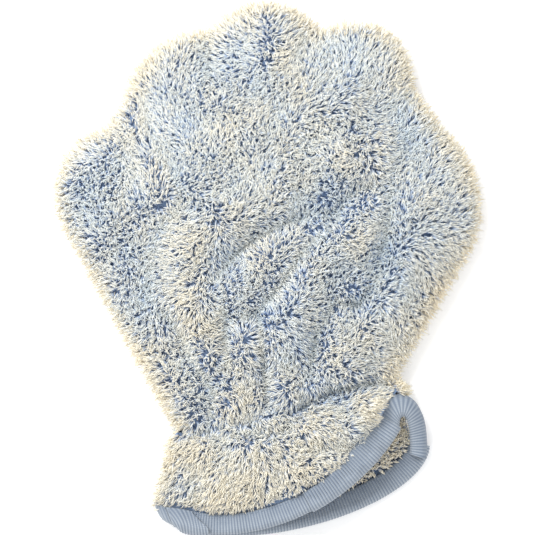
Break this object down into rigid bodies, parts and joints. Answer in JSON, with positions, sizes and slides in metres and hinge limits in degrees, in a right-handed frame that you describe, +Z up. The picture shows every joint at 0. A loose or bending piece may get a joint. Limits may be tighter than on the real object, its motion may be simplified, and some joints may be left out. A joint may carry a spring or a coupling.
{
  "type": "wash mitt",
  "caption": "Plush wash mitt with a scalloped hand, a gathered wrist and a flared cuff bound with ribbed tape, lying flat on its back.",
  "frame": {"origin": "middle of the underside, on the surface that the mitt lies on", "axes": "+Y along the hand towards the fingertips, +X to the right seen from the front, +Z up out of the front face"},
  "size_m": [0.2236, 0.2784, 0.034],
  "materials": {
    "plush": "long soft microfibre pile, matte",
    "binding_tape": "cross-ribbed woven tape, matte",
    "tape_thread": "polyester thread",
    "seam_thread": "polyester thread",
    "elastic": "knitted elastic band"
  },
  "bodies": {
    "hand": {"front_panel": "plush", "back_panel": "plush", "perimeter_seam_thread": "seam_thread", "perimeter_overlock": "seam_thread", "wrist_elastic": "elastic", "elastic_stitching": "seam_thread"},
    "cuff_back": {"back_cuff": "plush", "back_binding": "binding_tape", "back_binding_stitching": "tape_thread", "left_cuff_seam_thread": "seam_thread", "right_cuff_seam_thread": "seam_thread"},
    "cuff_front": {"front_cuff": "plush", "front_binding": "binding_tape", "front_binding_stitching": "tape_thread"}
  },
  "joints": [
    {"name": "wrist_bend", "type": "hinge", "parent": "hand", "child": "cuff_back", "pos_m": [0.00918, -0.07323, 0.009], "axis": [-0.9744, -0.225, 0], "range_deg": [0, 45]},
    {"name": "mouth_open", "type": "hinge", "parent": "cuff_back", "child": "cuff_front", "pos_m": [0.00936, -0.07401, 0.027], "axis": [-0.9744, -0.225, 0], "range_deg": [0, 35]}
  ]
}
